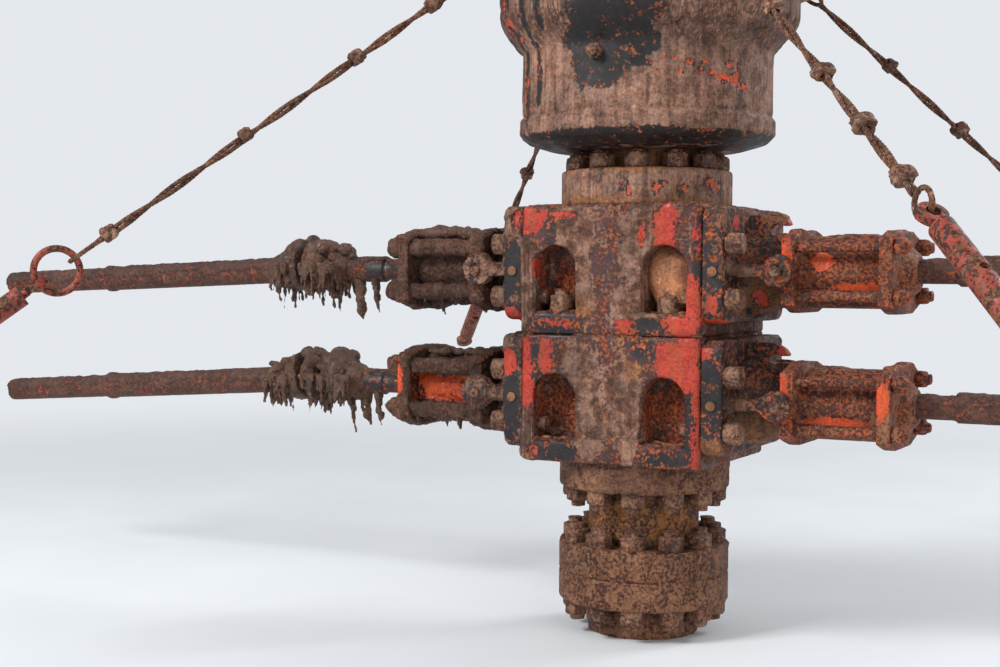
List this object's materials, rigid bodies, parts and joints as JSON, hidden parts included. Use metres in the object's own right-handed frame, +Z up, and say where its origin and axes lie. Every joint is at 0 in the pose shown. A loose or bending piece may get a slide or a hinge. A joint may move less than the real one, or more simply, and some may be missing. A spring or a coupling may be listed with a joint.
{
  "type": "blowout preventer stack",
  "caption": "Blowout preventer stack on a wellhead: ram preventers with cylinders and lock shafts under an annular preventer, held by wire rope stays with turnbuckles.",
  "frame": {"origin": "on the bore's axis at ground level, under the casing head", "axes": "+Z up along the bore, +X along the ram axes to the picture's right, -Y towards the viewer"},
  "size_m": [6.04, 3.4746, 2.739],
  "materials": {
    "ram_paint": "chipped red paint over dark primer, muddy",
    "muddy_steel": "rusty steel under dried mud",
    "annular_steel": "mud-stained cast steel",
    "flange_steel": "ochre rust",
    "stud_steel": "rusty studs and nuts",
    "shaft_steel": "worn red paint under mud",
    "wire_rope": "rusty wire rope",
    "stay_red": "red paint, worn",
    "packer_rubber": "matt black rubber",
    "brass": "dull brass"
  },
  "bodies": {
    "root": {"casing_head": "flange_steel", "drilling_spool": "flange_steel", "spool_base_studs": "stud_steel", "spool_top_studs": "stud_steel", "lower_ram_body": "ram_paint", "upper_ram_body": "ram_paint", "pocket_studs": "stud_steel", "eye_bolts": "stud_steel", "annular_body": "annular_steel", "packing_element": "packer_rubber", "annular_cap": "annular_steel", "annular_base_studs": "stud_steel", "top_studs": "stud_steel", "stay_lugs": "annular_steel", "rope_clips": "wire_rope", "stay_rings": "stay_red", "turnbuckle_bodies": "stay_red", "turnbuckle_eyes": "stay_red", "door_plugs": "brass", "tie_rods_left": "stud_steel", "door_bolts_left": "stud_steel", "tie_rods_right": "stud_steel", "door_bolts_right": "stud_steel", "door_lower_left": "ram_paint", "cylinder_lower_left": "muddy_steel", "cylinder_head_lower_left": "muddy_steel", "door_lower_right": "ram_paint", "cylinder_lower_right": "muddy_steel", "cylinder_head_lower_right": "muddy_steel", "door_upper_left": "ram_paint", "cylinder_upper_left": "muddy_steel", "cylinder_head_upper_left": "muddy_steel", "door_upper_right": "ram_paint", "cylinder_upper_right": "muddy_steel", "cylinder_head_upper_right": "muddy_steel", "stay_rope_front_left": "wire_rope", "stay_rope_front_right": "wire_rope", "stay_rope_rear_left": "wire_rope", "stay_rope_rear_right": "wire_rope"},
    "lock_screw_lower_left": {"lock_screw_lower_left": "shaft_steel"},
    "shaft_lower_left": {"extension_shaft_lower_left": "shaft_steel", "universal_cross_lower_left": "shaft_steel"},
    "lock_screw_lower_right": {"lock_screw_lower_right": "shaft_steel"},
    "shaft_lower_right": {"extension_shaft_lower_right": "shaft_steel", "universal_cross_lower_right": "shaft_steel"},
    "lock_screw_upper_left": {"lock_screw_upper_left": "shaft_steel"},
    "shaft_upper_left": {"extension_shaft_upper_left": "shaft_steel", "universal_cross_upper_left": "shaft_steel"},
    "lock_screw_upper_right": {"lock_screw_upper_right": "shaft_steel"},
    "shaft_upper_right": {"extension_shaft_upper_right": "shaft_steel", "universal_cross_upper_right": "shaft_steel"}
  },
  "joints": [
    {"name": "shaft_turn_lower_left", "type": "hinge", "parent": "root", "child": "shaft_lower_left", "pos_m": [-1.42, 0, 0.811], "axis": [-0.9977, 0, -0.068], "continuous": true},
    {"name": "screw_turn_lower_left", "type": "hinge", "parent": "root", "child": "lock_screw_lower_left", "pos_m": [-1.42, 0, 0.811], "axis": [-1, 0, 0], "continuous": true},
    {"name": "shaft_turn_lower_right", "type": "hinge", "parent": "root", "child": "shaft_lower_right", "pos_m": [1.42, 0, 0.811], "axis": [1, 0, 0], "continuous": true},
    {"name": "screw_turn_lower_right", "type": "hinge", "parent": "root", "child": "lock_screw_lower_right", "pos_m": [1.42, 0, 0.811], "axis": [1, 0, 0], "continuous": true},
    {"name": "shaft_turn_upper_left", "type": "hinge", "parent": "root", "child": "shaft_upper_left", "pos_m": [-1.42, 0, 1.238], "axis": [-0.9991, 0, -0.0419], "continuous": true},
    {"name": "screw_turn_upper_left", "type": "hinge", "parent": "root", "child": "lock_screw_upper_left", "pos_m": [-1.42, 0, 1.238], "axis": [-1, 0, 0], "continuous": true},
    {"name": "shaft_turn_upper_right", "type": "hinge", "parent": "root", "child": "shaft_upper_right", "pos_m": [1.42, 0, 1.238], "axis": [1, 0, 0], "continuous": true},
    {"name": "screw_turn_upper_right", "type": "hinge", "parent": "root", "child": "lock_screw_upper_right", "pos_m": [1.42, 0, 1.238], "axis": [1, 0, 0], "continuous": true}
  ],
  "couplings": [
    {"joint": "screw_turn_lower_left", "follows": "shaft_turn_lower_left", "ratio": 1},
    {"joint": "screw_turn_lower_right", "follows": "shaft_turn_lower_right", "ratio": 1},
    {"joint": "screw_turn_upper_left", "follows": "shaft_turn_upper_left", "ratio": 1},
    {"joint": "screw_turn_upper_right", "follows": "shaft_turn_upper_right", "ratio": 1}
  ]
}
